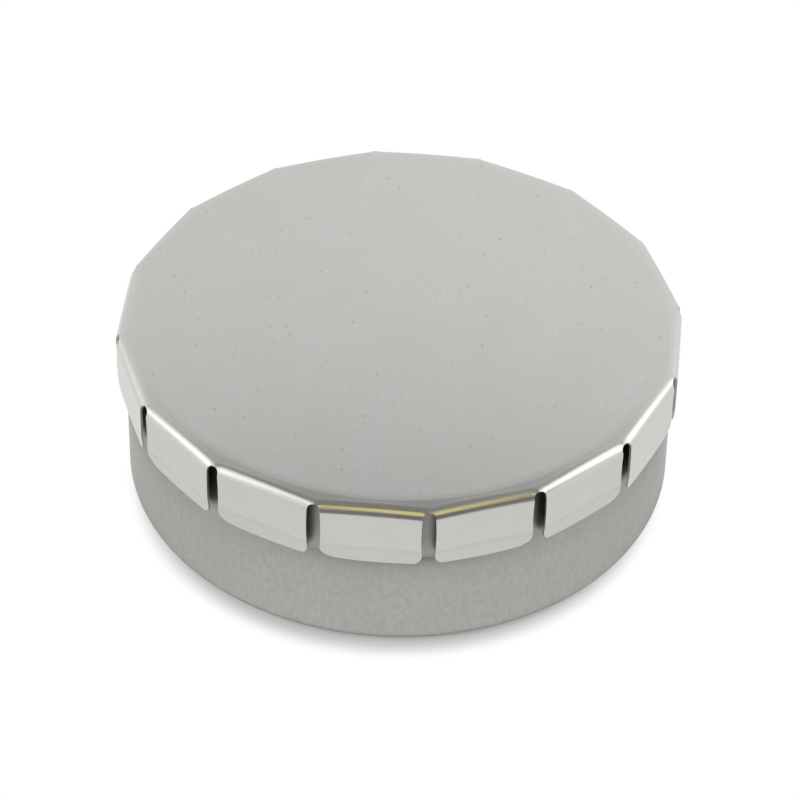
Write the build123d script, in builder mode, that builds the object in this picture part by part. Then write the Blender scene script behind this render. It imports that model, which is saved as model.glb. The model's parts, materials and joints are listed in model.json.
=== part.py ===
from build123d import *
import os
from math import cos, pi, radians, sin, sqrt, tan

# Round mint tin in two pressings: a drawn cup with a curled lip, and a sixteen-sided lid
# whose tabs are folded down over that lip. Pressing the domed centre of the lid makes the
# tabs spring outwards, and the lid lifts off.
# Millimetres, +Z up. The origin is the middle of the underside, on the table.

# Driving sizes of the lid
side_count = 16
across_flats = 58.9
lid_edge_height = 18.8
lid_sheet = 0.22
crown_rise = 1.1
rim_width = 2.95
bend_radius = 0.9
tab_depth = 7.4
crease_depth = 5.0
lip_lean = 0.24
tab_corner_radius = 1.4
slot_width = 1.4
slot_top_depth = 0.5

# Driving sizes of the base
base_sheet = 0.25
base_corner_radius = 1.1
shoulder_below_tabs = 1.3
shoulder_height = 0.9
curl_radius = 0.55
foot_width = 2.6
panel_lift = 0.35
panel_slope = 0.8

# Clearances
seat_clearance = 0.05
press_clearance = 0.12
fold_clearance = 0.19
ear_clearance = 0.1
lift_clearance = 0.07
cut_overrun = 1.0

# Lid sizes that follow
half_flat = across_flats / 2
side_angle = 360 / side_count
half_side = half_flat * tan(radians(side_angle / 2))
tab_half_width = half_side - slot_width / 2
corner_distance = half_flat / cos(radians(side_angle / 2))
lid_underside = lid_edge_height - lid_sheet
bend_centre = half_flat - bend_radius
centre_radius = bend_centre - rim_width
bend_level = lid_edge_height - bend_radius
inner_bend_radius = bend_radius - lid_sheet
fold_start = fold_clearance / bend_radius
crease_level = lid_edge_height - crease_depth
tab_bottom = lid_edge_height - tab_depth
ear_bottom = lid_edge_height - slot_top_depth - slot_width / 2
bend_length = (bend_radius - lid_sheet / 2) * pi / 2
blank_radius = bend_centre + bend_length + tab_depth - bend_radius
bottom_bow = blank_radius - sqrt(blank_radius**2 - tab_half_width**2)
dome_radius = (centre_radius**2 + crown_rise**2) / (2 * crown_rise)
half_chord = centre_radius / 2
half_chord_rise = crown_rise - dome_radius + sqrt(dome_radius**2 - half_chord**2)

# Base sizes that follow. The lips of the tabs slide straight up past the curled edge.
wall_radius = half_flat - lip_lean - lid_sheet - lift_clearance
wall_inside = wall_radius - base_sheet
neck_inside = wall_radius - 2 * curl_radius
neck_radius = neck_inside + base_sheet
curl_centre = neck_inside + curl_radius
curl_top = lid_underside - seat_clearance
curl_level = curl_top - curl_radius
shoulder_bottom = tab_bottom - shoulder_below_tabs
shoulder_top = shoulder_bottom + shoulder_height
corner_start = wall_radius - base_corner_radius
panel_edge = corner_start - foot_width
panel_flat_radius = panel_edge - panel_slope
diagonal = sqrt(2)

os.makedirs("parts", exist_ok=True)

# The base: one drawn cup. The foot ring stands on the table round a shallow raised panel.
# Above the straight wall it steps in at a shoulder to a neck, and its edge is curled
# outwards into a hollow bead, so nobody touches a raw edge.
with BuildPart() as base:
    with BuildSketch(Plane.XZ):
        with BuildLine():
            inner_corner = base_corner_radius - base_sheet
            outer_arc = CenterArc(
                (corner_start, base_corner_radius), base_corner_radius, -90, 90
            )
            inner_arc = CenterArc(
                (corner_start, base_corner_radius), inner_corner, -90, 90
            )
            Polyline(
                inner_arc @ 0,
                (panel_edge, base_sheet),
                (panel_flat_radius, panel_lift + base_sheet),
                (0, panel_lift + base_sheet),
                (0, panel_lift),
                (panel_flat_radius, panel_lift),
                (panel_edge, 0),
                outer_arc @ 0,
            )
            Polyline(
                outer_arc @ 1,
                (wall_radius, shoulder_bottom),
                (neck_radius, shoulder_top),
                (neck_radius, curl_level),
                (neck_inside, curl_level),
                (neck_inside, shoulder_top),
                (wall_inside, shoulder_bottom),
                inner_arc @ 1,
            )
        make_face()
        with Locations((curl_centre, curl_level)):
            Circle(curl_radius)
            Circle(curl_radius - base_sheet, mode=Mode.SUBTRACT)
    revolve(axis=Axis.Z)
base.part.label = "base"
export_step(base.part, "parts/base.step")

# The space under the bent sheet, taken out of the lid's rim. It has the same sixteen sides,
# one sheet thickness further in.
with BuildPart() as rim_hollow:
    with BuildSketch(Plane.XY.offset(ear_bottom - cut_overrun)):
        RegularPolygon(
            half_flat - lid_sheet, side_count, major_radius=False, rotation=side_angle / 2
        )
    extrude(amount=lid_underside - ear_bottom + cut_overrun)
    fillet(rim_hollow.edges().group_by(Axis.Z)[-1], inner_bend_radius)

# The lid's rim: the flat ring that lies on the curled lip, with a short bent ear at each of
# the sixteen corners. The ears are the sheet between two slots, and end in the slots' arched tops.
with BuildPart() as lid_rim:
    with BuildSketch(Plane.XY.offset(ear_bottom)):
        RegularPolygon(half_flat, side_count, major_radius=False, rotation=side_angle / 2)
    extrude(amount=lid_edge_height - ear_bottom)
    fillet(lid_rim.edges().group_by(Axis.Z)[-1], bend_radius)
    add(rim_hollow.part, mode=Mode.SUBTRACT)
    with BuildSketch(Plane.XY.offset(lid_edge_height)):
        Circle(centre_radius + press_clearance)
    extrude(amount=-(lid_sheet + cut_overrun), mode=Mode.SUBTRACT)
    window_depth = bend_radius + cut_overrun
    with BuildSketch(Plane.XY.offset(lid_edge_height)):
        with PolarLocations(bend_centre + window_depth / 2, side_count):
            Rectangle(window_depth, 2 * (tab_half_width + ear_clearance))
    extrude(amount=-(lid_edge_height - ear_bottom), mode=Mode.SUBTRACT)
    for corner in range(side_count):
        corner_angle = radians((corner + 1 / 2) * side_angle)
        outwards = Vector(cos(corner_angle), sin(corner_angle), 0)
        slot_plane = Plane(
            origin=outwards * (corner_distance - window_depth) + Vector(0, 0, ear_bottom),
            z_dir=outwards,
        )
        with BuildSketch(slot_plane):
            Circle(slot_width / 2)
        extrude(amount=window_depth + cut_overrun, mode=Mode.SUBTRACT)
lid_rim.part.label = "lid_rim"
export_step(lid_rim.part, "parts/lid_rim.step")

# The centre of the lid: a shallow domed disc that the thumb pushes down inside the rim.
with BuildPart() as lid_centre:
    with BuildSketch(Plane.XZ):
        with BuildLine():
            top_arc = ThreePointArc(
                (0, lid_edge_height + crown_rise),
                (half_chord, lid_edge_height + half_chord_rise),
                (centre_radius, lid_edge_height),
            )
            under_arc = ThreePointArc(
                (0, lid_underside + crown_rise),
                (half_chord, lid_underside + half_chord_rise),
                (centre_radius, lid_underside),
            )
            Line(top_arc @ 0, under_arc @ 0)
            Line(top_arc @ 1, under_arc @ 1)
        make_face()
    revolve(axis=Axis.Z)
lid_centre.part.label = "lid_centre"
export_step(lid_centre.part, "parts/lid_centre.step")

# The sixteen tabs: each one is the bend, a straight face, and below a soft crease a lip that
# leans inwards under the base's curled edge. Its bottom edge is a piece of the round blank, so
# it is a little longer in the middle. Tab 1 faces -Y, and the numbers run anticlockwise as seen
# from above. Each tab turns about the middle of its own bend.
for tab in range(side_count):
    tab_angle = radians(tab * side_angle - 90)
    outwards = Vector(cos(tab_angle), sin(tab_angle), 0)
    along = Vector(sin(tab_angle), -cos(tab_angle), 0)
    with BuildPart() as lid_tab:
        with BuildSketch(Plane(origin=(0, 0, 0), x_dir=outwards, z_dir=along)):
            with BuildLine():
                outer_bend = ThreePointArc(
                    (
                        bend_centre + bend_radius * sin(fold_start),
                        bend_level + bend_radius * cos(fold_start),
                    ),
                    (
                        bend_centre + bend_radius / diagonal,
                        bend_level + bend_radius / diagonal,
                    ),
                    (half_flat, bend_level),
                )
                inner_bend = ThreePointArc(
                    (
                        bend_centre + inner_bend_radius * sin(fold_start),
                        bend_level + inner_bend_radius * cos(fold_start),
                    ),
                    (
                        bend_centre + inner_bend_radius / diagonal,
                        bend_level + inner_bend_radius / diagonal,
                    ),
                    (half_flat - lid_sheet, bend_level),
                )
                Line(outer_bend @ 0, inner_bend @ 0)
                Polyline(
                    outer_bend @ 1,
                    (half_flat, crease_level),
                    (half_flat - lip_lean, tab_bottom),
                    (half_flat - lip_lean - lid_sheet, tab_bottom),
                    (half_flat - lid_sheet, crease_level),
                    inner_bend @ 1,
                )
            make_face()
        extrude(amount=half_side, both=True)
        face_plane = Plane(
            origin=outwards * (bend_centre - cut_overrun) + Vector(0, 0, tab_bottom),
            x_dir=-along,
            z_dir=outwards,
        )
        with BuildSketch(face_plane) as tab_outline:
            with BuildLine():
                blank_edge = ThreePointArc(
                    (-tab_half_width, bottom_bow), (0, 0), (tab_half_width, bottom_bow)
                )
                Polyline(
                    blank_edge @ 1,
                    (tab_half_width, tab_depth),
                    (-tab_half_width, tab_depth),
                    blank_edge @ 0,
                )
            make_face()
            fillet(tab_outline.vertices().group_by(Axis.Y)[0], tab_corner_radius)
        extrude(amount=bend_radius + 2 * cut_overrun, mode=Mode.INTERSECT)
    tab_name = f"lid_tab_{tab + 1:02d}"
    lid_tab.part.label = tab_name
    export_step(lid_tab.part, f"parts/{tab_name}.step")
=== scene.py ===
import json
from math import cos, pi, radians, sin, tan

import bmesh
import bpy
import numpy as np
from mathutils import Matrix, Vector


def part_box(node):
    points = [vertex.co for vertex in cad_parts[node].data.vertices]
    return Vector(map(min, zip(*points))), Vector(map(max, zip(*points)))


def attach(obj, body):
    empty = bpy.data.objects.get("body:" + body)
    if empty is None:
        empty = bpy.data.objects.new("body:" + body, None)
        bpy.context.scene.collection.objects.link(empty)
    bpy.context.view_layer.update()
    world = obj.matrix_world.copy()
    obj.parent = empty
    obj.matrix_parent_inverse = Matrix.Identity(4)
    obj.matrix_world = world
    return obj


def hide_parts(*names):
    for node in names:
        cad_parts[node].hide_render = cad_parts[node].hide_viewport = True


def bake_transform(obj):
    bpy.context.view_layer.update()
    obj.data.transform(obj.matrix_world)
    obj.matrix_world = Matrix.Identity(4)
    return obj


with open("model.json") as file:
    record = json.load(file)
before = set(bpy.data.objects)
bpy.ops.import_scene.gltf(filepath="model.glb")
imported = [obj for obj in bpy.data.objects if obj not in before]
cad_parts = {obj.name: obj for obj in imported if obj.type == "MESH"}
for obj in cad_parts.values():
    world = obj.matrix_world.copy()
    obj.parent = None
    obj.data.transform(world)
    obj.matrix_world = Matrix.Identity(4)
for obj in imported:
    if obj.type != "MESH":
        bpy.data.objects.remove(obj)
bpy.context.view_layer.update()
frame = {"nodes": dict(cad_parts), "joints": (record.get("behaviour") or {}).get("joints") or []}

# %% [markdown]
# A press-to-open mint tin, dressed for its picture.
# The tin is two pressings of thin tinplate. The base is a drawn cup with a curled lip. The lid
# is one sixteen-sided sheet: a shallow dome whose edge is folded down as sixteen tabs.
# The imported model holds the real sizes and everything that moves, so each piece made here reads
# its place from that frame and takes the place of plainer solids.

MM = 0.001
tab_nodes = sorted(name for name in frame["nodes"] if name.startswith("lid_tab_"))
sides = len(tab_nodes)
side_angle = 2 * pi / sides
first_facing = -pi / 2
swing = next(j for j in frame["joints"] if j["name"] == f"{tab_nodes[0]}_swing")
face_reach = -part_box(tab_nodes[0])[0].y
tab_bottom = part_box(tab_nodes[0])[0].z
lid_edge = swing["pos_m"][2] + face_reach + swing["pos_m"][1]
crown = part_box("lid_centre")[1].z
press_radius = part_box("lid_centre")[1].x
half_side = face_reach * tan(side_angle / 2)
corner_reach = face_reach / cos(side_angle / 2)
slot_radius = half_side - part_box(tab_nodes[0])[1].x
base_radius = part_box("base")[1].x
curl_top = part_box("base")[1].z
print(f"{sides} sides, {2 * face_reach / MM:.1f} mm across the flats")
print(f"the lid's edge is {lid_edge / MM:.1f} mm up, its crown {crown / MM:.1f} mm")

# %% [markdown]
# The camera comes first, because every later choice is judged through it. The photograph was
# taken from a little above forty degrees with a long lens, which hardly tapers the round lid.
# The distance and the drop below the lid's middle are shares of the lid's corner radius,
# so the framing would follow if the tin grew.

# %% Camera
camera_azimuth = radians(4.93)
camera_elevation = radians(41.27)
camera_roll = radians(1.14)
picture_side = 800
focal_pixels = 3801
distance_share = 13.298
side_share = 0.004
drop_share = 0.2809

camera_data = bpy.data.cameras.new("camera")
camera_data.sensor_width = 36
camera_data.lens = focal_pixels / picture_side * camera_data.sensor_width
camera = bpy.data.objects.new("camera", camera_data)
bpy.context.collection.objects.link(camera)
bpy.context.scene.camera = camera

back = Vector((
    sin(camera_azimuth) * cos(camera_elevation),
    -cos(camera_azimuth) * cos(camera_elevation),
    sin(camera_elevation),
))
level_look = (-back).to_track_quat("-Z", "Y").to_matrix()
lid_middle = Vector((0, 0, lid_edge))
camera_place = (
    lid_middle
    + back * distance_share * corner_reach
    + level_look.col[0] * side_share * corner_reach
    - level_look.col[1] * drop_share * corner_reach
)
rolled_look = level_look @ Matrix.Rotation(camera_roll, 3, "Z")
camera.matrix_world = Matrix.Translation(camera_place) @ rolled_look.to_4x4()
print(f"lens {camera_data.lens:.0f} mm, {(camera_place - lid_middle).length / MM:.0f} mm from the lid")

# %% [markdown]
# The cup and the lid's top are grids of points, one closed ring after another, so one helper
# joins the rings with quads. A ring of one point is a pole, and takes triangles. Modelling them
# by hand would give the same faces, but no sizes that can be read and changed.

# %% Helpers that make a mesh from rings of points
def ring_faces(ring_sizes):
    """Quads between rings of equal size, triangles where a ring is a single point."""
    faces = []
    start = 0
    for size, following in zip(ring_sizes, ring_sizes[1:]):
        after = start + size
        columns = max(size, following)
        for k in range(columns):
            n = (k + 1) % columns
            if size == 1:
                faces.append((start, after + k, after + n))
            elif following == 1:
                faces.append((start + k, after, start + n))
            else:
                faces.append((start + k, after + k, after + n, start + n))
        start = after
    return faces


def mesh_from_rings(name, rings):
    """An object whose points are the rings, shaded smooth."""
    points = [tuple(point) for ring in rings for point in ring]
    mesh = bpy.data.meshes.new(name)
    mesh.from_pydata(points, [], ring_faces([len(ring) for ring in rings]))
    mesh.validate()
    mesh.shade_smooth()
    obj = bpy.data.objects.new(name, mesh)
    bpy.context.collection.objects.link(obj)
    return obj


# %% [markdown]
# Every finish here is a tree of nodes. Adding them one by one takes many lines that look alike,
# so a few helpers add a node, do a sum, carry a value over to another range, or make stretched
# noise. A finish also needs to know where it is on the metal. For the drawn cup that is the place
# on the object. For folded sheet it is the place on the sheet while it was flat, so that the
# mill's lines run on straight through every fold.

# %% Helpers for nodes
def material_tree(name):
    """A new material with its node tree and its shader."""
    material = bpy.data.materials.new(name)
    material.use_nodes = True
    tree = material.node_tree
    return material, tree, tree.nodes["Principled BSDF"]


def shader_node(tree, kind, values=(), **settings):
    """Add a node, set its properties, and fill its sockets with numbers or links."""
    node = tree.nodes.new(kind)
    for key, value in settings.items():
        setattr(node, key, value)
    for key, value in dict(values).items():
        if isinstance(value, bpy.types.NodeSocket):
            tree.links.new(value, node.inputs[key])
        else:
            node.inputs[key].default_value = value
    return node


def maths(tree, operation, *values):
    """What one Math node makes of these numbers or links."""
    node = shader_node(tree, "ShaderNodeMath", dict(enumerate(values)), operation=operation)
    return node.outputs[0]


def ranged(tree, value, low, high, from_low=0.3, from_high=0.7, smooth=False):
    """Carry a value over to the range from low to high, in a straight or a smooth step."""
    node = shader_node(
        tree,
        "ShaderNodeMapRange",
        {"Value": value, "From Min": from_low, "From Max": from_high, "To Min": low, "To Max": high},
        interpolation_type="SMOOTHSTEP" if smooth else "LINEAR",
    )
    return node.outputs[0]


def stretched_noise(tree, coordinates, stretch, scale, detail, roughness=0.55):
    """Noise whose cells are longer in one direction: stretch squeezes the coordinates."""
    mapping = shader_node(tree, "ShaderNodeMapping", {"Vector": coordinates, "Scale": stretch})
    noise = shader_node(
        tree,
        "ShaderNodeTexNoise",
        {"Vector": mapping.outputs[0], "Scale": scale, "Detail": detail, "Roughness": roughness},
    )
    return noise.outputs["Fac"]


def grey(level):
    return (level, level, level)


def object_coordinates(tree):
    return shader_node(tree, "ShaderNodeTexCoord").outputs["Object"]


def blank_coordinates(tree):
    """Where a point lay on the flat sheet before the press folded it."""
    return shader_node(tree, "ShaderNodeUVMap", uv_map="blank").outputs[0]


# %% [markdown]
# The finish of rolled tinplate is a field of very fine parallel lines, left by the mill's
# rollers. It could be painted, but noise stretched along one direction gives the same lines at
# any size. The lines change the gloss and the tiny relief much more than they change the colour.
# Three layers lie over them: clouds of slow noise for handling, because no used sheet is evenly
# clean, a fine mottling, and a few dark specks where that same noise is highest.

# %% Rolled metal
rolling_angle = radians(5.5)
line_scale = 5200
line_roughness = 0.6
line_relief = 0.02 * MM
layer_stretch = 0.4
cloud_scale = 150
cloud_share = 0.6
cloud_tint = (0.955, 0.945, 0.9)
cloud_gloss = (-0.015, 0.02)
dot_scale = 2300
speck_from, speck_full = 0.80, 0.86
speck_level = 0.45


def rolled_metal(
    name,
    coordinates_of,
    grain,
    colour,
    gloss,
    contrast=0.03,
    specks=0.0,
    relief=0.01,
    edge_shine=1.0,
    mottling=0.965,
    shade_and_dull_of=None,
):
    """Tinplate whose fine lines run along the sheet. gloss is its lowest and highest roughness.

    The last argument gives a share from 0 to 1 where painted shade darkens the colour and the sheet is
    less polished.
    """
    material, tree, shader = material_tree(name)
    turned_sheet = shader_node(tree, "ShaderNodeMapping", {"Vector": coordinates_of(tree)})
    turned_sheet.inputs["Rotation"].default_value = (0, 0, -rolling_angle)
    coordinates = turned_sheet.outputs[0]
    lines = stretched_noise(tree, coordinates, grain, line_scale, 3, line_roughness)
    softer_grain = [1 - layer_stretch + layer_stretch * share for share in grain]
    clouds = stretched_noise(tree, coordinates, softer_grain, cloud_scale, 4)
    dots = stretched_noise(tree, coordinates, softer_grain, dot_scale, 0)
    ramp = shader_node(tree, "ShaderNodeValToRGB", {"Fac": ranged(tree, lines, 0, 1)})
    ramp.color_ramp.elements[0].color = (*[c * (1 - contrast) for c in colour], 1)
    ramp.color_ramp.elements[1].color = (*[c * (1 + contrast) for c in colour], 1)
    shown = ramp.outputs["Color"]
    layers = [
        (ranged(tree, clouds, 0, cloud_share), cloud_tint),
        (ranged(tree, dots, 0, 1), grey(mottling)),
        (ranged(tree, dots, 0, specks, speck_from, speck_full), grey(speck_level)),
    ]
    rough = ranged(tree, lines, *gloss)
    # Painted shade: the share darkens the colour, and it raises the roughness as well.
    if shade_and_dull_of:
        shade_and_dull, painted_shade_tone, dull_rough = shade_and_dull_of(tree)
        layers.append((shade_and_dull, grey(painted_shade_tone)))
        rough = maths(tree, "MULTIPLY_ADD", shade_and_dull, dull_rough, rough)
    for share, tint in layers:
        covered = [c * t for c, t in zip(colour, tint)]
        layer = shader_node(
            tree,
            "ShaderNodeMix",
            {"Factor": share, "A": shown, "B": (*covered, 1)},
            data_type="RGBA",
        )
        shown = layer.outputs["Result"]
    handled = maths(tree, "ADD", rough, ranged(tree, clouds, *cloud_gloss))
    bump = shader_node(
        tree, "ShaderNodeBump", {"Strength": relief, "Distance": line_relief, "Height": lines}
    )
    tree.links.new(shown, shader.inputs["Base Color"])
    tree.links.new(handled, shader.inputs["Roughness"])
    tree.links.new(bump.outputs[0], shader.inputs["Normal"])
    shader.inputs["Metallic"].default_value = 1
    shader.inputs["Specular Tint"].default_value = (*grey(edge_shine), 1)
    return material


# %% [markdown]
# Four finishes. The base was drawn, which stretches the sheet upwards and dulls it a little. Its
# colour is darkened by painted shade from a little below the tabs up the neck that the lid covers,
# where it is rougher too. The lid keeps the bright satin of the mill. Its tabs are the same sheet,
# rubbed by the folding die on their faces; their lips are a little rougher and darkened by painted
# shade, most of all at the crease. The cut edges are bare, darker steel. One function makes all
# four, so they stay one family of metal.

# %% Finishes
# The base's darker colour from below the tabs up the neck is painted shade; its higher roughness there
# is the unpolished metal.
shade_and_dull_from_below = 3.4 * MM
shade_and_dull_full_above = 3 * MM
neck_shade_level = 0.76
neck_rougher = 0.12
# The lips' darker colour, darkest at the crease, is painted shade; their extra roughness is the die's
# lighter rub.
crease_shade_weight = 2.0
lip_shade_weight = 0.5
lip_shade_level = 0.86
lip_rougher = 0.05


def shade_under_the_lid(tree):
    """Painted shade under the lid: the colour darkens from a little below the tabs up the neck, for
    the shade in the slots and under the tabs. The neck is rougher too, as the die never polished it.
    """
    height = shader_node(tree, "ShaderNodeSeparateXYZ", {0: object_coordinates(tree)}).outputs[2]
    neck_share = ranged(
        tree, height, 0, 1, tab_bottom - shade_and_dull_from_below, tab_bottom + shade_and_dull_full_above
    )
    return neck_share, neck_shade_level, neck_rougher


def shade_below_the_crease(tree):
    """Painted shade on the lips of the tabs, darkest at the crease. The lips lean away from the die
    and are a little rougher too.
    """
    lip = shader_node(tree, "ShaderNodeAttribute", attribute_name="lip").outputs["Fac"]
    crease = maths(tree, "MULTIPLY", lip, maths(tree, "SUBTRACT", 1.0, lip))
    whole_lip = maths(tree, "MULTIPLY", lip, lip_shade_weight)
    share = maths(tree, "MULTIPLY_ADD", crease, crease_shade_weight, whole_lip)
    return share, lip_shade_level, lip_rougher


base_metal = rolled_metal(
    "base_tinplate",
    object_coordinates,
    grain=(1, 1, 0.03),
    colour=(0.435, 0.43, 0.41),
    gloss=(0.31, 0.35),
    contrast=0.04,
    specks=0.1,
    edge_shine=0.78,
    mottling=0.9,
    shade_and_dull_of=shade_under_the_lid,
)
lid_metal = rolled_metal(
    "lid_tinplate",
    blank_coordinates,
    grain=(1, 0.08, 1),
    colour=(0.61, 0.61, 0.595),
    gloss=(0.23, 0.26),
    specks=0.4,
)
tab_metal = rolled_metal(
    "tab_tinplate",
    blank_coordinates,
    grain=(1, 0.05, 1),
    colour=(0.63, 0.627, 0.603),
    gloss=(0.20, 0.26),
    contrast=0.05,
    shade_and_dull_of=shade_below_the_crease,
)
cut_metal = rolled_metal(
    "cut_edge", object_coordinates, grain=(1, 1, 1), colour=(0.46, 0.45, 0.44), gloss=(0.36, 0.5)
)
for metal in (base_metal, lid_metal, tab_metal, cut_metal):
    print(metal.name, "has", len(metal.node_tree.nodes), "nodes")

# %% [markdown]
# The base is drawn from one disc, so it is a single sheet all the way: a raised middle, the foot
# ring that stands on the table, a straight wall, a shoulder, a neck, and the edge rolled out into
# a bead. It could be turned from a solid outline, but following the middle of the sheet and
# giving it a thickness keeps the wall even everywhere, also inside the rolled edge.

# %% Path of the base's sheet
sheet = 0.25 * MM
foot_width = 2.6 * MM
foot_corner = 1.1 * MM
panel_lift = 0.35 * MM
panel_slope = 0.8 * MM
shoulder_below_tabs = 1.6 * MM
neck_above_tabs = 0.2 * MM
neck_taper = 0.41 * MM
curl_radius = 0.48 * MM
curl_turn = radians(325)
curl_tuck_share = 0.72
soft_radius = 0.45 * MM

middle = sheet / 2
wall = base_radius - middle
neck = base_radius - 2 * curl_radius + middle
shoulder_low = tab_bottom - shoulder_below_tabs
shoulder_high = tab_bottom + neck_above_tabs
foot_inside = base_radius - foot_corner - foot_width
curl_level = curl_top - curl_radius


def rounded_path(corners, radii, steps=10):
    """The corners joined by straight runs, each corner rounded with its own radius."""
    path = [Vector(corners[0])]
    for before, corner, after, radius in zip(corners, corners[1:], corners[2:], radii):
        corner = Vector(corner)
        arriving = (corner - Vector(before)).normalized()
        leaving = (Vector(after) - corner).normalized()
        turn = arriving.angle_signed(leaving)
        reach = radius * tan(abs(turn) / 2)
        side = 1 if turn > 0 else -1
        middle_point = corner - arriving * reach + Vector((arriving.y, -arriving.x)) * radius * side
        spoke = corner - arriving * reach - middle_point
        for k in range(steps + 1):
            path.append(middle_point + Matrix.Rotation(-turn * k / steps, 2) @ spoke)
    path.append(Vector(corners[-1]))
    return path


cup_path = rounded_path(
    [
        (0, panel_lift + middle),
        (foot_inside - panel_slope, panel_lift + middle),
        (foot_inside, middle),
        (wall, middle),
        (wall, shoulder_low),
    ],
    [soft_radius, soft_radius, foot_corner - middle],
)

# %% [markdown]
# Above the wall the sheet turns in along a soft shoulder, leans on in up the neck, and is rolled
# outwards. The rolling tool tucks the raw edge in, so the bead's radius shrinks towards its end.

# %% Shoulder, neck and bead
shoulder_points = 16
neck_points = 12
bead_points = 40

shoulder_depth = wall - neck - neck_taper
for k in range(1, shoulder_points + 1):
    share = k / shoulder_points
    height = shoulder_low + (shoulder_high - shoulder_low) * share
    cup_path.append(Vector((wall - shoulder_depth * share**2, height)))
for k in range(1, neck_points + 1):
    share = k / neck_points
    height = shoulder_high + (curl_level - shoulder_high) * share
    cup_path.append(Vector((neck + neck_taper * (1 - share), height)))
curl_centre = Vector((neck + curl_radius - middle, curl_level))
for k in range(1, bead_points + 1):
    share = k / bead_points
    reach = (curl_radius - middle) * (1 - (1 - curl_tuck_share) * share**3)
    angle = pi - curl_turn * share
    cup_path.append(curl_centre + Vector((cos(angle), sin(angle))) * reach)
print(f"the base's sheet has {len(cup_path)} points from its middle to the end of the bead")

# %% [markdown]
# The press drew the cup over a round punch, and turning an outline about the tin's middle makes
# the same shape. The path is first moved half a thickness to each side, which gives one closed
# outline with an inside and an outside. A turned curve would do too, but here each ring is a row
# of points, and the two ends on the axis become clean poles.

# %% Give the path its thickness and turn it round
turns = 288


def sheet_outline(path, thickness):
    """Both faces of a bent sheet: the path moved half a thickness to each side."""
    left, right = [], []
    for k, point in enumerate(path):
        ahead = path[min(k + 1, len(path) - 1)] - path[max(k - 1, 0)]
        across = Vector((-ahead.y, ahead.x)).normalized() * thickness / 2
        left.append(point + across)
        right.append(point - across)
    left[0].x = right[0].x = 0
    return left + right[::-1]


def lathe(name, outline):
    """Turn an outline that starts and ends on the Z axis."""
    angles = np.arange(turns) * 2 * pi / turns
    rings = []
    for radius, height in outline:
        if radius < MM * 1e-6:
            rings.append([(0, 0, height)])
        else:
            rings.append([(radius * cos(a), radius * sin(a), height) for a in angles])
    return mesh_from_rings(name, rings)


def face_outwards(obj):
    """Turn every face of a closed mesh outwards."""
    work = bmesh.new()
    work.from_mesh(obj.data)
    bmesh.ops.recalc_face_normals(work, faces=work.faces)
    work.to_mesh(obj.data)
    work.free()
    obj.data.shade_smooth()


base_cup = lathe("base_cup", sheet_outline(cup_path, sheet))
face_outwards(base_cup)
base_cup.data.materials.append(base_metal)
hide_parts("base")
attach(base_cup, "base")
print("base_cup has", len(base_cup.data.polygons), "faces")

# %% [markdown]
# The lid's top is a shallow dome that ends on a circle. From there the sheet falls more steeply
# to the sixteen straight bends, and the press pulls it down a little further at the corners. That
# is why a darker band, wider at the corners, runs round the bright panel. The dome's height isn't
# chosen: it is what is left under the crown once the band has its slopes.

# %% Shape of the lid's top
lid_sheet = 0.22 * MM
panel_radius = 28.0 * MM
bend_radius = 1.2 * MM
edge_tilt = radians(10)
start_tilt = radians(8.5)
corner_tilt = radians(3)
lead_in = 0.15 * MM

bend_reach = face_reach - bend_radius
bend_level = lid_edge - bend_radius
start_reach = bend_reach + bend_radius * sin(start_tilt) - lead_in * cos(start_tilt)
start_level = bend_level + bend_radius * cos(start_tilt) + lead_in * sin(start_tilt)


def edge_drop(off, last_tilt):
    """How far the sheet falls from the panel's round edge to the bend, off the side's middle."""
    return (start_reach / cos(off) - panel_radius) * (tan(edge_tilt) + tan(last_tilt)) / 2


roll_drop = edge_drop(0, start_tilt)
corner_dip = edge_drop(side_angle / 2, start_tilt + corner_tilt) - roll_drop
panel_level = start_level + roll_drop
dome_rise = crown - panel_level
print(f"the dome rises {dome_rise / MM:.2f} mm over its panel")
print(f"the corners lie {corner_dip / MM:.2f} mm lower than the middles of the sides")

# %% [markdown]
# A subdivided disc would round the band's edges by chance. A dense grid of rings keeps them where
# they are worked out: each ring is a circle inside, and turns into the sixteen-sided outline
# across the band, in runs whose slope is known at both ends. It is a skin of no thickness, and a
# live Solidify gives it the sheet's thickness.

# %% The lid's panel
dome_rings = 34
band_rings = 10
side_columns = 16


def dome_height(radius):
    return crown - dome_rise * (radius / panel_radius) ** 2


def smooth_run(p, first, first_slope, last, last_slope):
    """A height at share p of a run, from the heights and slopes at its two ends."""
    return (
        (2 * p**3 - 3 * p**2 + 1) * first
        + (p**3 - 2 * p**2 + p) * first_slope
        + (3 * p**2 - 2 * p**3) * last
        + (p**3 - p**2) * last_slope
    )


def panel_rings():
    """Rings of the lid's top, from the pole out to the bends."""
    columns = sides * side_columns
    angles = first_facing + (np.arange(columns) / side_columns - 0.5) * side_angle
    off_middle = (np.arange(columns) % side_columns) / side_columns * side_angle - side_angle / 2
    rings = [[(0, 0, crown)]]
    for ring in range(1, dome_rings + 1):
        radius = panel_radius * ring / dome_rings
        rings.append([(radius * cos(a), radius * sin(a), dome_height(radius)) for a in angles])
    for ring in range(1, band_rings + 1):
        p = ring / band_rings
        points = []
        for a, off in zip(angles, off_middle):
            aside = (tan(off) / tan(side_angle / 2)) ** 2
            length = start_reach / cos(off) - panel_radius
            first_slope = -tan(edge_tilt) * length
            last_slope = -tan(start_tilt + corner_tilt * aside) * cos(off) * length
            last_level = start_level - corner_dip * aside
            height = smooth_run(p, panel_level, first_slope, last_level, last_slope)
            radius = panel_radius + p * length
            points.append((radius * cos(a), radius * sin(a), height))
        rings.append(points)
    return rings


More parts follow.
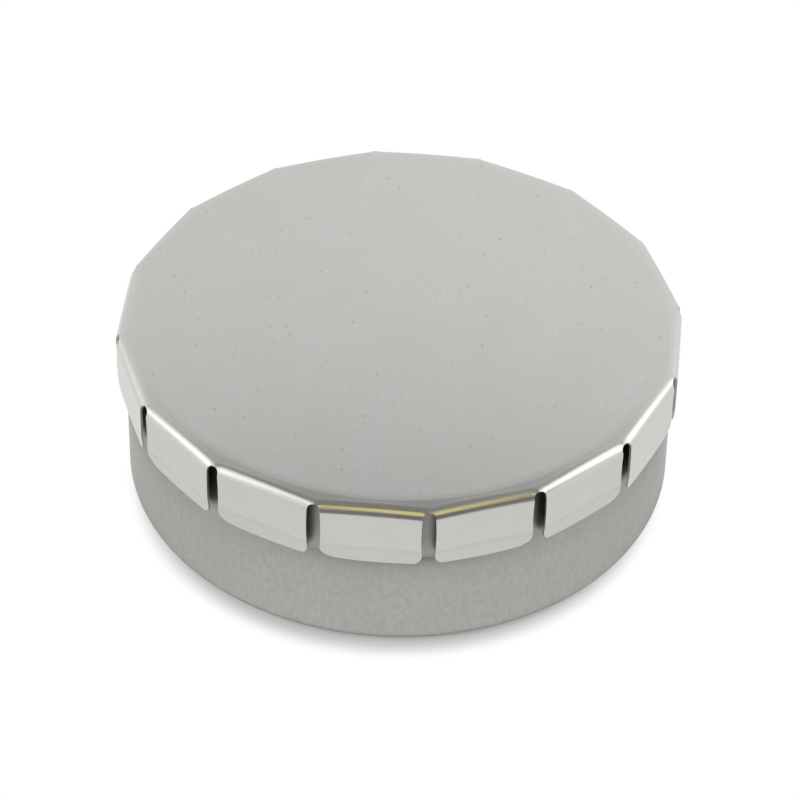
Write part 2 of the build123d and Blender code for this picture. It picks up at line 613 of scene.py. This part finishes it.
def add_blank_map(mesh):
    """Store each corner's place on the flat sheet as a UV map, in metres."""
    uv = mesh.uv_layers.new(name="blank")
    for loop in mesh.loops:
        uv.data[loop.index].uv = mesh.vertices[loop.vertex_index].co.xy


def thicken(obj, thickness, edge_material):
    """A live Solidify that grows inwards and gives the cut edge its own material.

    The skin's border is marked sharp, so the cut edge isn't shaded as part of the face.
    """
    obj.data.materials.append(edge_material)
    work = bmesh.new()
    work.from_mesh(obj.data)
    for edge in work.edges:
        edge.smooth = not edge.is_boundary
    work.to_mesh(obj.data)
    work.free()
    solid = obj.modifiers.new("sheet", "SOLIDIFY")
    solid.thickness = thickness
    solid.offset = -1
    solid.material_offset_rim = 1


lid_panel = mesh_from_rings("lid_panel", panel_rings())
add_blank_map(lid_panel.data)
lid_panel.data.materials.append(lid_metal)
thicken(lid_panel, lid_sheet, cut_metal)
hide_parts("lid_rim", "lid_centre")
dome_height(press_radius)
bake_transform(lid_panel)
print("lid_panel has", len(lid_panel.data.polygons), "faces before it is thickened")

# %% [markdown]
# Each tab is the rest of the sheet: a short run-in, the bend, a flat face, a soft crease, and a
# lip that leans in under the base's bead. Neighbours meet in a mitre at the top of the bend, and a
# slot with an arched top parts them below. They could be modelled once and copied, but all
# sixteen follow one rule with small differences, so a Geometry Nodes tree makes them.
# Node sums are hard to read, so a small class lets them be written as plain formulas.

# %% Formulas for node trees
class Field:
    """A number flowing through a node tree. Sums of Fields add Math nodes."""

    def __init__(self, tree, source):
        self.tree = tree
        self.source = source

    def maths(self, operation, *others):
        values = [other.source if isinstance(other, Field) else other for other in others]
        return Field(self.tree, maths(self.tree, operation, self.source, *values))

    def __add__(self, other):
        return self.maths("ADD", other)

    def __sub__(self, other):
        return self.maths("SUBTRACT", other)

    def __mul__(self, other):
        return self.maths("MULTIPLY", other)

    def __truediv__(self, other):
        return self.maths("DIVIDE", other)

    def sin(self):
        return self.maths("SINE")

    def cos(self):
        return self.maths("COSINE")

    def tan(self):
        return self.maths("TANGENT")

    def between(self, low, high):
        return self.maths("MAXIMUM", low).maths("MINIMUM", high)


def tree_with_inputs(name, inputs):
    """An empty node group with named inputs. Returns it with one Field for each input."""
    tree = bpy.data.node_groups.new(name, "GeometryNodeTree")
    tree.interface.new_socket("Geometry", in_out="OUTPUT", socket_type="NodeSocketGeometry")
    for label, value in inputs.items():
        kind = "NodeSocketInt" if isinstance(value, int) else "NodeSocketFloat"
        socket = tree.interface.new_socket(label, in_out="INPUT", socket_type=kind)
        socket.default_value = value
    group = tree.nodes.new("NodeGroupInput")
    return tree, {label: Field(tree, group.outputs[label]) for label in inputs}


def tree_node(tree, kind, values=(), **settings):
    """As shader_node, but a Field may fill a socket too."""
    plain = {
        key: value.source if isinstance(value, Field) else value
        for key, value in dict(values).items()
    }
    return shader_node(tree, kind, plain, **settings)


# %% [markdown]
# The sizes that shape a tab are the tree's named inputs, so one tree serves all sixteen. Most of
# them hold for every tab. The way it faces, its number and the widths of its two lower corners
# are set for each tab. Depths are measured along the sheet, from its start on the lid's top.

# %% The tab tree's inputs
slot_tilt = radians(38)
crease_below_edge = 5.0 * MM
bottom_bow = 0.25 * MM
sheet_length = lead_in + bend_radius * (pi / 2 - start_tilt) + bend_level - tab_bottom
tab_inputs = {
    "Bend reach": bend_reach,
    "Bend level": bend_level,
    "Bend radius": bend_radius,
    "Start tilt": start_tilt,
    "Run-in": lead_in,
    "Half side angle": side_angle / 2,
    "Slot start": lead_in + bend_radius * (slot_tilt - start_tilt),
    "Slot radius": slot_radius,
    "Slot bulge": 0.07 * MM,
    "Mitre ease": 0.65 * MM,
    "Mitre slack": 0.35,
    "Corner dip": corner_dip,
    "Corner tilt": corner_tilt,
    "Length": sheet_length - bottom_bow,
    "Bottom bow": bottom_bow,
    "Corner radius": 1.4 * MM,
    "Left corner": 1.1,
    "Right corner": 1.1,
    "Crease depth": crease_below_edge - bend_radius,
    "Crease softness": 0.5 * MM,
    "Lip slope": 0.1,
    "Lip shade": 0.8 * MM,
    "Waviness": 0.03 * MM,
    "Wave fade": 1.5 * MM,
    "Facing": 0.0,
    "Tab number": 0,
}
tab_columns = 33
tab_rows = 73
tab_tree, given = tree_with_inputs("folded_tab", tab_inputs)
print(f"a tab is {sheet_length / MM:.2f} mm of sheet, shaped by {len(tab_inputs)} inputs")

# %% [markdown]
# The blanking die cuts the tab's outline while the sheet is still flat, and the tree does the
# same. It starts from a flat grid. A row's distance along the outline says where the row is: on
# the mitre, the slot's arch, the straight side or the rounded corner. The arcs then give its
# depth along the sheet and how far it is drawn in from the mitre.

# %% Outline of a tab
grid = tree_node(
    tab_tree,
    "GeometryNodeMeshGrid",
    {"Size X": 2.0, "Size Y": 1.0, "Vertices X": tab_columns, "Vertices Y": tab_rows},
)
grid_place = tree_node(tab_tree, "GeometryNodeInputPosition").outputs[0]
flat_place = tree_node(tab_tree, "ShaderNodeSeparateXYZ", {0: grid_place})
across_share = Field(tab_tree, flat_place.outputs[0])
down_share = Field(tab_tree, flat_place.outputs[1]) * -1 + 0.5

arch = given["Slot radius"]
corner = given["Corner radius"]
quarter = pi / 2
corner_turn = radians(76)
side_run = given["Length"] - given["Slot start"] - arch - corner * sin(corner_turn)
outline_length = given["Slot start"] + arch * quarter + side_run + corner * corner_turn
travelled = down_share * outline_length
on_mitre = travelled.between(0.0, given["Slot start"])
past_mitre = travelled - given["Slot start"]
on_arch = (past_mitre / arch).between(0.0, quarter)
past_arch = past_mitre - arch * quarter
on_side = past_arch.between(0.0, side_run)
on_corner = ((past_arch - side_run) / corner).between(0.0, corner_turn)
edge_along = on_mitre + arch - arch * on_arch.cos() + on_side + corner * on_corner.sin()
is_left = across_share.maths("LESS_THAN", 0.0)
corner_width = given["Left corner"] * is_left + given["Right corner"] * (is_left * -1 + 1.0)
edge_inset = arch * on_arch.sin() + (corner - corner * on_corner.cos()) * corner_width
edge_inset = edge_inset + given["Slot bulge"] * (on_side / side_run * pi).sin()

# The bottom edge is a piece of the round blank, so the middle runs a little further down. The
# corner turns short of a right angle, to meet this arc without a fold.
how_far = edge_along / given["Length"]
bulge = (across_share * across_share * -1 + 1.0) * how_far * how_far * how_far
along = edge_along + given["Bottom bow"] * bulge

# %% [markdown]
# Folding wraps the flat sheet round the bend and lets the rest hang down as the face, with the
# lip leaning in below the crease. So the distance along the sheet, less the run-in, is an angle
# on the bend first, and a depth down the face after a quarter turn.

# %% Fold a tab over the bend
before_bend = (given["Run-in"] - along).maths("MAXIMUM", 0.0)
on_bend = ((along - given["Run-in"]) / given["Bend radius"]).maths("MAXIMUM", 0.0)
tilt = (on_bend + given["Start tilt"]).maths("MINIMUM", quarter)
bend_length = given["Bend radius"] * (given["Start tilt"] * -1 + quarter)
down_face = (along - given["Run-in"] - bend_length).maths("MAXIMUM", 0.0)
past_crease = down_face - given["Crease depth"]
lean = past_crease.maths("SMOOTH_MAX", 0.0, given["Crease softness"]) * given["Lip slope"]
bend_out = given["Bend reach"] + given["Bend radius"] * tilt.sin()
reach = bend_out - given["Start tilt"].cos() * before_bend - lean
level = given["Bend level"] + given["Bend radius"] * tilt.cos() - down_face
level = level + given["Start tilt"].sin() * before_bend
mitre_half = (bend_out - given["Start tilt"].cos() * before_bend) * given["Half side angle"].tan()
half_width = mitre_half - edge_inset
across = half_width * across_share

# %% [markdown]
# Beside a mitre the sheet can't bend as tightly, because its neighbour pulls on it, and the lid's
# corners start lower and steeper. Real corners are soft for this reason. Rounding them with a
# bevel would shrink the outline, so the bend itself is given a wider radius near the mitre, and
# the point moves by the difference between the two bends.

# %% Ease the bend beside a mitre
mitre_gap = mitre_half - across.maths("ABSOLUTE")
near_mitre = (mitre_gap / given["Mitre ease"] * -1 + 1.0).between(0.0, 1.0)
near_mitre = near_mitre * near_mitre * (near_mitre * -2 + 3.0)
tightness = near_mitre * given["Mitre slack"] * -1 + 1.0
aside = across / mitre_half
first_tilt = given["Start tilt"]
radius = given["Bend radius"]
eased_first = first_tilt + given["Corner tilt"] * aside * aside
turn_ratio = (eased_first * -1 + quarter) / (first_tilt * -1 + quarter) * tightness
eased_radius = radius / turn_ratio
eased_tilt = eased_first + (tilt - first_tilt) * turn_ratio
moved_out = eased_radius * (eased_tilt.sin() - eased_first.sin())
moved_out = moved_out - radius * (tilt.sin() - first_tilt.sin())
moved_down = eased_radius * (eased_first.cos() - eased_tilt.cos())
moved_down = moved_down - radius * (first_tilt.cos() - tilt.cos())
run_in_done = given["Run-in"] - before_bend
moved_down = moved_down + run_in_done * (eased_first.sin() - first_tilt.sin())
side_sign = across_share.maths("SIGN")
reach = reach + moved_out
level = level - moved_down - given["Corner dip"] * aside * aside
across = across + moved_out * near_mitre * side_sign * given["Half side angle"].tan()

# %% [markdown]
# The press never leaves a tab quite flat, and a mirror shows every hundredth of a millimetre. One
# slow noise, different for each tab, moves the face in by up to the waviness. It fades out
# towards the bend, where the die holds the sheet to its shape.

# %% Let the faces wave
wave_scale = 1.2
wave_across = 1.3
wave_down = 0.8
wave_apart = 3.7
wave_place = tree_node(
    tab_tree,
    "ShaderNodeCombineXYZ",
    {
        0: across_share * wave_across,
        1: down_share * wave_down,
        2: given["Tab number"] * wave_apart,
    },
)
wave = tree_node(
    tab_tree,
    "ShaderNodeTexNoise",
    {"Vector": wave_place.outputs[0], "Scale": wave_scale, "Detail": 1.0, "Roughness": 0.4},
)
wave_depth = Field(tab_tree, wave.outputs["Fac"]) * given["Waviness"]
reach = reach - wave_depth * (down_face / given["Wave fade"]).between(0.0, 1.0)

# %% [markdown]
# At the end the tree turns the folded place to the side of the tin that the tab belongs to. It
# also stores two things for the finish: the flat place, so that the mill's lines run on straight
# through all the folds, and how far a point is past the crease, where the lip gets painted shade
# and a little more roughness.

# %% Turn the tab to its side and dress it
def turned(out, sideways, height):
    """Turn a place in the tab's own plane to where the tab faces."""
    facing_cos = given["Facing"].cos()
    facing_sin = given["Facing"].sin()
    return tree_node(
        tab_tree,
        "ShaderNodeCombineXYZ",
        {
            0: out * facing_cos - sideways * facing_sin,
            1: out * facing_sin + sideways * facing_cos,
            2: height,
        },
    ).outputs[0]


blank_reach = given["Bend reach"] + given["Bend radius"] * given["Start tilt"].sin() + along
stored = tree_node(
    tab_tree,
    "GeometryNodeStoreNamedAttribute",
    {
        "Geometry": grid.outputs["Mesh"],
        "Name": "blank",
        "Value": turned(blank_reach, across, 0.0),
    },
    data_type="FLOAT2",
    domain="CORNER",
)
lip_share = (past_crease / given["Lip shade"]).between(0.0, 1.0)
marked = tree_node(
    tab_tree,
    "GeometryNodeStoreNamedAttribute",
    {"Geometry": stored.outputs[0], "Name": "lip", "Value": lip_share},
    data_type="FLOAT",
    domain="POINT",
)
folded = tree_node(
    tab_tree,
    "GeometryNodeSetPosition",
    {"Geometry": marked.outputs[0], "Position": turned(reach, across, level)},
)
smooth = tree_node(tab_tree, "GeometryNodeSetShadeSmooth", {"Geometry": folded.outputs[0]})
real = tree_node(tab_tree, "GeometryNodeRealizeInstances", {"Geometry": smooth.outputs[0]})
dressed = tree_node(
    tab_tree, "GeometryNodeSetMaterial", {"Geometry": real.outputs[0], "Material": tab_metal}
)
outlet = tab_tree.nodes.new("NodeGroupOutput")
tab_tree.links.new(dressed.outputs[0], outlet.inputs[0])
print("the tab tree has", len(tab_tree.nodes), "nodes")

# %% [markdown]
# The tree is evaluated once for each tab, and the outcome is kept as a plain mesh. The die is a
# little off centre, so the lower corners aren't all equally wide. Those of five front tabs follow
# the photograph, and the others are drawn by chance from a fixed seed.

# %% Fold the sixteen tabs
corner_widths = {1: (1.8, 0.8), 2: (0.8, 1.8), 3: (0.7, 1.1), 15: (1.5, 0.8), 16: (1.6, 0.6)}
narrowest, widest = 0.7, 1.5
chance = np.random.default_rng(7)
socket_of = {
    item.name: item.identifier
    for item in tab_tree.interface.items_tree
    if item.in_out == "INPUT"
}


def folded_tab(number, facing):
    """Evaluate the tree once for a tab and keep the result as a plain mesh."""
    name = f"tab_sheet_{number + 1:02d}"
    carrier = bpy.data.objects.new("carrier", bpy.data.meshes.new("carrier"))
    bpy.context.collection.objects.link(carrier)
    modifier = carrier.modifiers.new("fold", "NODES")
    modifier.node_group = tab_tree
    modifier[socket_of["Facing"]] = facing
    modifier[socket_of["Tab number"]] = number
    left, right = corner_widths.get(number + 1, chance.uniform(narrowest, widest, 2))
    modifier[socket_of["Left corner"]] = float(left)
    modifier[socket_of["Right corner"]] = float(right)
    evaluated = carrier.evaluated_get(bpy.context.evaluated_depsgraph_get())
    mesh = bpy.data.meshes.new_from_object(evaluated)
    mesh.name = name
    bpy.data.objects.remove(carrier)
    mesh.materials.clear()
    mesh.materials.append(tab_metal)
    tab = bpy.data.objects.new(name, mesh)
    bpy.context.collection.objects.link(tab)
    return tab


tab_sheets = []
for number, node in enumerate(tab_nodes):
    facing = first_facing + number * side_angle
    tab = folded_tab(number, facing)
    thicken(tab, lid_sheet, cut_metal)
    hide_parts(node)
    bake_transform(tab)
    tab_sheets.append(tab)
print(sides, "tabs of", len(tab.data.polygons), "faces each")

# %% [markdown]
# Polished metal shows its surroundings, so the light is arranged as a picture of its own, in four
# steps: the floor, the room, the lamps and a dark card.
# The floor is white paper. It could be lit until it burns out to white, but then no soft shadow
# would be left at the foot. Instead it keeps its own shading close to the tin, and glows plain
# white beyond. The standing wall and the hanging tabs mirror the paper too, and for them the glow
# is painted light set apart: a little dimmer far in front, brighter towards the sides, and with a
# painted shadow line right at the foot, where the cup hides the light.

# %% Floor
paper_colour = (0.9, 0.9, 0.91)
shadow_width = 2.9 * MM
shade_shift = 2.7 * MM
near_glow = 0.2
mirrored_near = 0.95
mirrored_far = 0.8
near_from, near_until = base_radius + 2 * MM, base_radius + 14 * MM
front_far = 0.7
side_far = 1.25
far_from, far_until = base_radius + 12 * MM, base_radius + 45 * MM
front_slant, side_slant = 0.5, 0.85
contact_light = 0.3
contact_from, contact_until = base_radius - 0.5 * MM, base_radius + 1.0 * MM
floor_half = 3.0
floor_drop = 0.01 * MM


def mirrored_paper(tree, from_shade):
    """How brightly the metal sees the paper: painted light by its distance and direction, and a
    painted shadow line at the foot.
    """
    place = object_coordinates(tree)
    to_side = shader_node(tree, "ShaderNodeSeparateXYZ", {0: place}).outputs[0]
    slant = maths(tree, "DIVIDE", maths(tree, "ABSOLUTE", to_side), from_shade)
    from_middle = shader_node(tree, "ShaderNodeVectorMath", {0: place}, operation="LENGTH")
    near = ranged(tree, from_shade, mirrored_near, mirrored_far, near_from, near_until)
    far_light = ranged(tree, slant, front_far, side_far, front_slant, side_slant, smooth=True)
    far = ranged(tree, from_shade, 1.0, far_light, far_from, far_until)
    # Painted shadow: a dark line at the foot, seen only in the metal.
    painted_foot_shadow = ranged(
        tree, from_middle.outputs["Value"], contact_light, 1.0, contact_from, contact_until
    )
    return maths(tree, "MULTIPLY", maths(tree, "MULTIPLY", near, far), painted_foot_shadow)


def floor_material():
    """White paper: lit like paper close to the tin, and plain white further away."""
    material, tree, shader = material_tree("paper")
    shader.inputs["Base Color"].default_value = (*paper_colour, 1)
    shader.inputs["Roughness"].default_value = 0.9
    shader.inputs["Specular IOR Level"].default_value = 0.1
    glow = shader_node(tree, "ShaderNodeEmission", {"Strength": 1.0})
    path = shader_node(tree, "ShaderNodeLightPath")
    shade_middle = (0, -shade_shift, 0)
    from_shade = shader_node(
        tree,
        "ShaderNodeVectorMath",
        {0: object_coordinates(tree), 1: shade_middle},
        operation="DISTANCE",
    ).outputs["Value"]
    shade_start = base_radius - shade_shift
    white = ranged(
        tree, from_shade, near_glow, 1.0, shade_start, shade_start + shadow_width, smooth=True
    )
    seen = maths(tree, "MULTIPLY", path.outputs["Is Camera Ray"], white)
    mirrored = mirrored_paper(tree, from_shade)
    share = maths(tree, "MULTIPLY_ADD", path.outputs["Is Glossy Ray"], mirrored, seen)
    mix = shader_node(
        tree, "ShaderNodeMixShader", {0: share, 1: shader.outputs[0], 2: glow.outputs[0]}
    )
    tree.links.new(mix.outputs[0], tree.nodes["Material Output"].inputs["Surface"])
    return material


floor_mesh = bpy.data.meshes.new("floor")
floor_corners = [(-1, -1), (1, -1), (1, 1), (-1, 1)]
floor_mesh.from_pydata(
    [(x * floor_half, y * floor_half, -floor_drop) for x, y in floor_corners], [], [(0, 1, 2, 3)]
)
floor = bpy.data.objects.new("floor", floor_mesh)
bpy.context.collection.objects.link(floor)
floor_mesh.materials.append(floor_material())
print(f"the paper is {2 * floor_half:.0f} m wide and lies {floor_drop / MM:.2f} mm under the tin")

# %% [markdown]
# The room is all that the metal mirrors above the floor. The flat panel mirrors the wall behind
# the tin, at the height of the camera, so the room is pale there. The band at the panel's front
# edge leans forwards and mirrors the ceiling, which is dim, and gives the band its darker tone.
# In front the room is dim too, except at the left, so the front bends get a dark line, and at
# both sides it is brightest. A picture of a real room would bring stray shapes into the metal,
# and a few smooth steps by direction don't.

# %% Room
low_light = 0.95
high_light = 0.28
high_from, high_full = 0.62, 1.0
left_light, right_light = 0.95, 1.02
turn_width = 0.15
side_light = 1.35
side_from, side_full = 0.6, 0.9
front_light = 0.2
front_from, front_full = -0.28, -0.45
left_until, left_full = -0.20, -0.45

world = bpy.data.worlds.new("room")
bpy.context.scene.world = world
world.use_nodes = True
room = world.node_tree
looking = shader_node(room, "ShaderNodeTexCoord").outputs["Generated"]
direction = shader_node(room, "ShaderNodeMapping", {"Vector": looking})
direction.inputs["Rotation"].default_value = (0, 0, -camera_azimuth)
right, behind, up = shader_node(room, "ShaderNodeSeparateXYZ", {0: direction.outputs[0]}).outputs

by_height = ranged(room, up, low_light, high_light, high_from, high_full, smooth=True)
by_turn = ranged(room, right, left_light, right_light, -turn_width, turn_width, smooth=True)
off_axis = maths(room, "ABSOLUTE", right)
by_side = ranged(room, off_axis, 1.0, side_light, side_from, side_full, smooth=True)
in_front = ranged(room, behind, 1.0, 0.0, front_full, front_from, smooth=True)
not_left = ranged(room, right, 0.0, 1.0, left_full, left_until, smooth=True)
shaded = maths(room, "MULTIPLY", in_front, not_left)
by_front = maths(room, "MULTIPLY_ADD", shaded, front_light - 1, 1.0)
room_light = by_height
for factor in (by_turn, by_side, by_front):
    room_light = maths(room, "MULTIPLY", room_light, factor)
room.links.new(room_light, room.nodes["Background"].inputs["Strength"])
room.nodes["Background"].inputs["Color"].default_value = (1, 1, 1, 1)
print("the room has", len(room.nodes), "nodes")

# %% [markdown]
# Four lamps stand in the room, and each adds its light to the part behind it. Tall soft boxes at
# both sides draw the white lines along the side bends. A warm card above the front draws the
# golden line on the two front bends. It would tint the paper and the panel as well, so it is
# linked to those two tabs. A wide fill is linked to the panel, which would else mirror only the
# dim front when it is seen from behind.

# %% Lamps
def soft_box(name, towards, distance, width, height, radiance, colour=(1, 1, 1)):
    """A flat lamp that faces the tin. towards is its direction: right, behind, up."""
    lamp = bpy.data.lights.new(name, "AREA")
    lamp.shape = "RECTANGLE"
    lamp.size = width
    lamp.size_y = height
    lamp.energy = radiance * pi * width * height
    lamp.color = colour
    box = bpy.data.objects.new(name, lamp)
    bpy.context.collection.objects.link(box)
    place = Matrix.Rotation(camera_azimuth, 3, "Z") @ Vector(towards).normalized() * distance
    look = place.to_track_quat("Z", "Y").to_matrix().to_4x4()
    box.matrix_world = Matrix.Translation(place + lid_middle) @ look
    print(f"{name}: {width:.2f} by {height:.2f} m, {lamp.energy:.2f} W")
    return box


def light_only(box, pieces):
    """Let a lamp reach these pieces and nothing else."""
    receivers = bpy.data.collections.new(box.name)
    for piece in pieces:
        receivers.objects.link(piece)
    box.light_linking.receiver_collection = receivers


soft_box(
    "left_box", towards=(-0.77, -0.22, 0.60), distance=0.7, width=0.52, height=0.62, radiance=0.7
)
soft_box(
    "right_box", towards=(0.81, 0.03, 0.52), distance=0.7, width=0.58, height=0.54, radiance=0.8
)
front_card = soft_box(
    "front_card",
    towards=(0.13, -0.65, 0.60),
    distance=0.6,
    width=0.46,
    height=0.38,
    radiance=0.84,
    colour=(1, 0.87, 0.28),
)
light_only(front_card, tab_sheets[:2])
panel_fill = soft_box(
    "panel_fill", towards=(0.25, -0.75, 0.55), distance=0.9, width=1.15, height=0.9, radiance=0.58
)
light_only(panel_fill, [lid_panel])

# %% [markdown]
# A dark card rises slowly from the paper, in front of the tin and a little to the right. The
# bends of the front tabs turn from the ceiling down to the paper, and where they mirror the card
# a dark line parts the golden one from the bright face. Seen from behind or above it would only
# be in the way, so neither the camera nor the shadows know of it.

# %% Dark card in front
card_near = 78 * MM
card_far = 300 * MM
card_lift = 0.5 * MM
card_rise = 60 * MM
card_left = 0.5
card_right = 0.75
felt_level = 0.25

card_mesh = bpy.data.meshes.new("dark_card")
card_mesh.from_pydata(
    [
        (-card_left * card_near, -card_near, card_lift),
        (card_right * card_near, -card_near, card_lift),
        (card_right * card_far, -card_far, card_rise),
        (-card_left * card_far, -card_far, card_rise),
    ],
    [],
    [(0, 1, 2, 3)],
)
card_mesh.transform(Matrix.Rotation(camera_azimuth, 4, "Z"))
dark_card = bpy.data.objects.new("dark_card", card_mesh)
bpy.context.collection.objects.link(dark_card)
card_material, _, card_shader = material_tree("dark_felt")
card_shader.inputs["Base Color"].default_value = (*grey(felt_level), 1)
card_shader.inputs["Roughness"].default_value = 1
card_mesh.materials.append(card_material)
dark_card.visible_camera = False
dark_card.visible_shadow = False
bpy.context.scene.view_settings.view_transform = "Standard"
print(f"the card reaches from {card_near / MM:.0f} to {card_far / MM:.0f} mm in front")
